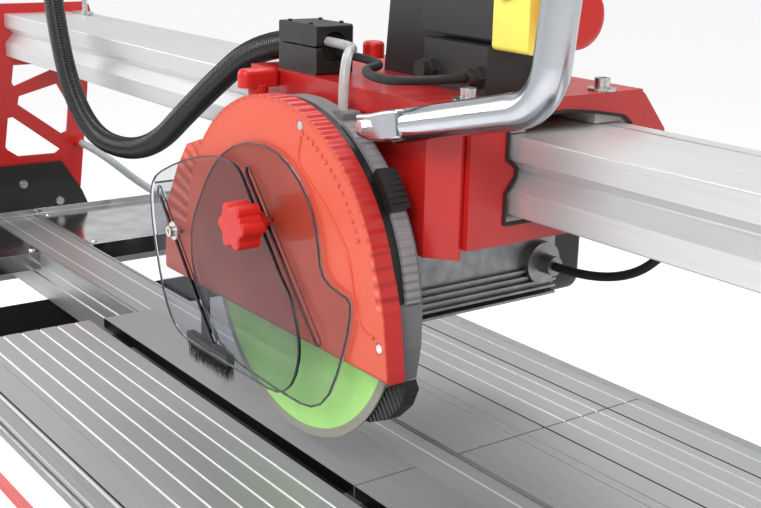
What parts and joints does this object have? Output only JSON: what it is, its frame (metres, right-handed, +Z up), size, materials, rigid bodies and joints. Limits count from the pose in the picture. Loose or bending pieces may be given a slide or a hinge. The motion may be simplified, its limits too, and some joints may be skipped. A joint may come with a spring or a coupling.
{
  "type": "bridge tile cutter",
  "caption": "Wet tile cutter with a tilting bridge, a carriage that slides along the beam, and a plunging motor head with a guarded blade over a slotted table.",
  "frame": {"origin": "centre of the footprint at floor level", "axes": "+X along the beam and the cut, towards the handle end; +Y from the operator's side to the motor side; +Z up"},
  "size_m": [1.849, 0.714, 1.52],
  "materials": {
    "galvanised": "satin",
    "frame_grey": "satin",
    "bright_sheet": "brushed",
    "zinc": "zinc plated",
    "table_grey": "anodised",
    "tray_dark": "satin",
    "black_plastic": "moulded",
    "grey_hose": "smooth",
    "black_paint": "satin",
    "rubber": "matt",
    "aluminium": "anodised",
    "red_paint": "gloss",
    "white_plastic": "moulded",
    "yellow_plastic": "moulded",
    "red_plastic": "moulded",
    "green_plastic": "moulded",
    "motor_grey": "cast",
    "grey_plastic": "moulded",
    "clear_hose": "smooth",
    "clear_guard": "polished",
    "blade_green": "painted core",
    "chrome": "plated"
  },
  "bodies": {
    "frame": {"front_rail": "galvanised", "centre_rail": "galvanised", "rear_rail": "galvanised", "cross_members": "frame_grey", "shelf": "bright_sheet", "shelf_screws": "zinc", "table_front": "table_grey", "table_centre_left": "table_grey", "table_centre_right": "table_grey", "table_rear_left": "table_grey", "table_rear_right": "table_grey", "water_tray": "tray_dark", "pump": "black_plastic", "pump_hose": "grey_hose", "pivot_plates": "black_paint"},
    "leg_frame_left": {"leg_left": "frame_grey", "feet_left": "rubber"},
    "leg_frame_right": {"leg_right": "frame_grey", "feet_right": "rubber"},
    "bridge": {"beam": "aluminium", "bridge_plate_left": "red_paint", "bridge_plate_right": "red_paint", "bridge_bolts": "zinc", "hose_rod": "zinc", "conduit": "black_plastic"},
    "lock_left": {"tilt_lock_left": "black_plastic"},
    "lock_right": {"tilt_lock_right": "black_plastic"},
    "carriage": {"carriage_body": "red_paint", "carriage_top": "red_paint", "carriage_trim": "rubber", "rear_cover": "red_paint", "glide_blocks": "white_plastic", "carriage_screws": "zinc", "hose_clamp": "black_plastic", "switch_box": "black_plastic", "switch_housing": "yellow_plastic", "switch_cable": "rubber"},
    "stop": {"stop_button": "red_plastic"},
    "start": {"start_button": "green_plastic"},
    "spring_knob": {"lock_knob": "red_plastic"},
    "wing": {"wing_knob": "red_plastic"},
    "head": {"arm": "red_paint", "handle_tube": "chrome", "motor_body": "motor_grey", "fan_cover": "black_plastic", "front_shell": "red_plastic", "back_shell": "grey_plastic", "strap": "grey_plastic", "boot": "rubber", "brush": "black_plastic", "head_screws": "zinc", "water_tube": "clear_hose", "motor_cable": "rubber"},
    "clip": {"strap_slider": "black_plastic"},
    "right_guard": {"guard_right": "clear_guard"},
    "front_guard": {"guard_front": "clear_guard"},
    "lobed_knob": {"guard_knob": "red_plastic"},
    "cutter": {"spindle": "zinc", "blade": "blade_green", "blade_clamp": "zinc"}
  },
  "joints": [
    {"name": "leg_left_fold", "type": "hinge", "parent": "frame", "child": "leg_frame_left", "pos_m": [-0.8125, -0.104, 0.625], "axis": [0, -1, 0], "range_deg": [0, 90]},
    {"name": "leg_right_fold", "type": "hinge", "parent": "frame", "child": "leg_frame_right", "pos_m": [0.8125, -0.104, 0.625], "axis": [0, 1, 0], "range_deg": [0, 90]},
    {"name": "bridge_tilt", "type": "hinge", "parent": "frame", "child": "bridge", "pos_m": [0.2875, -0.104, 0.8], "axis": [1, 0, 0], "range_deg": [0, 45]},
    {"name": "tilt_lock_left_turn", "type": "hinge", "parent": "bridge", "child": "lock_left", "pos_m": [-0.9125, -0.151, 0.851], "axis": [1, 0, 0], "continuous": true},
    {"name": "tilt_lock_right_turn", "type": "hinge", "parent": "bridge", "child": "lock_right", "pos_m": [0.9075, -0.151, 0.851], "axis": [1, 0, 0], "continuous": true},
    {"name": "carriage_slide", "type": "slide", "parent": "bridge", "child": "carriage", "axis": [1, 0, 0], "range_m": [-0.8, 0.29], "deforming": ["conduit"]},
    {"name": "stop_press", "type": "slide", "parent": "carriage", "child": "stop", "axis": [-1, 0, 0], "range_m": [0, 0.006], "stiffness_N_per_m": 800},
    {"name": "start_press", "type": "slide", "parent": "carriage", "child": "start", "axis": [0, 1, 0], "range_m": [0, 0.004], "stiffness_N_per_m": 500},
    {"name": "spring_knob_pull", "type": "slide", "parent": "carriage", "child": "spring_knob", "axis": [0, 0, 1], "range_m": [0, 0.008], "stiffness_N_per_m": 800},
    {"name": "wing_knob_turn", "type": "hinge", "parent": "head", "child": "wing", "pos_m": [0.1935, -0.096, 1.204], "axis": [0, 0, 1], "continuous": true},
    {"name": "head_plunge", "type": "hinge", "parent": "carriage", "child": "head", "pos_m": [0.1525, -0.054, 1.09], "axis": [0, 1, 0], "range_deg": [0, 17.7], "deforming": ["water_tube", "motor_cable"]},
    {"name": "strap_clip_turn", "type": "hinge", "parent": "head", "child": "clip", "pos_m": [0.2875, -0.1, 1.0084], "axis": [0, 1, 0], "range_deg": [-4, 25]},
    {"name": "right_guard_slide", "type": "slide", "parent": "head", "child": "right_guard", "axis": [-0.6744, 0, 0.7384], "range_m": [0, 0.04]},
    {"name": "front_guard_slide", "type": "slide", "parent": "head", "child": "front_guard", "axis": [-0.6516, 0, 0.7586], "range_m": [0, 0.06]},
    {"name": "lobed_knob_turn", "type": "hinge", "parent": "head", "child": "lobed_knob", "pos_m": [0.2905, -0.174, 1.072], "axis": [0, 1, 0], "continuous": true},
    {"name": "blade_spin", "type": "hinge", "parent": "head", "child": "cutter", "pos_m": [0.2875, -0.104, 1.0084], "axis": [0, 1, 0], "continuous": true}
  ]
}
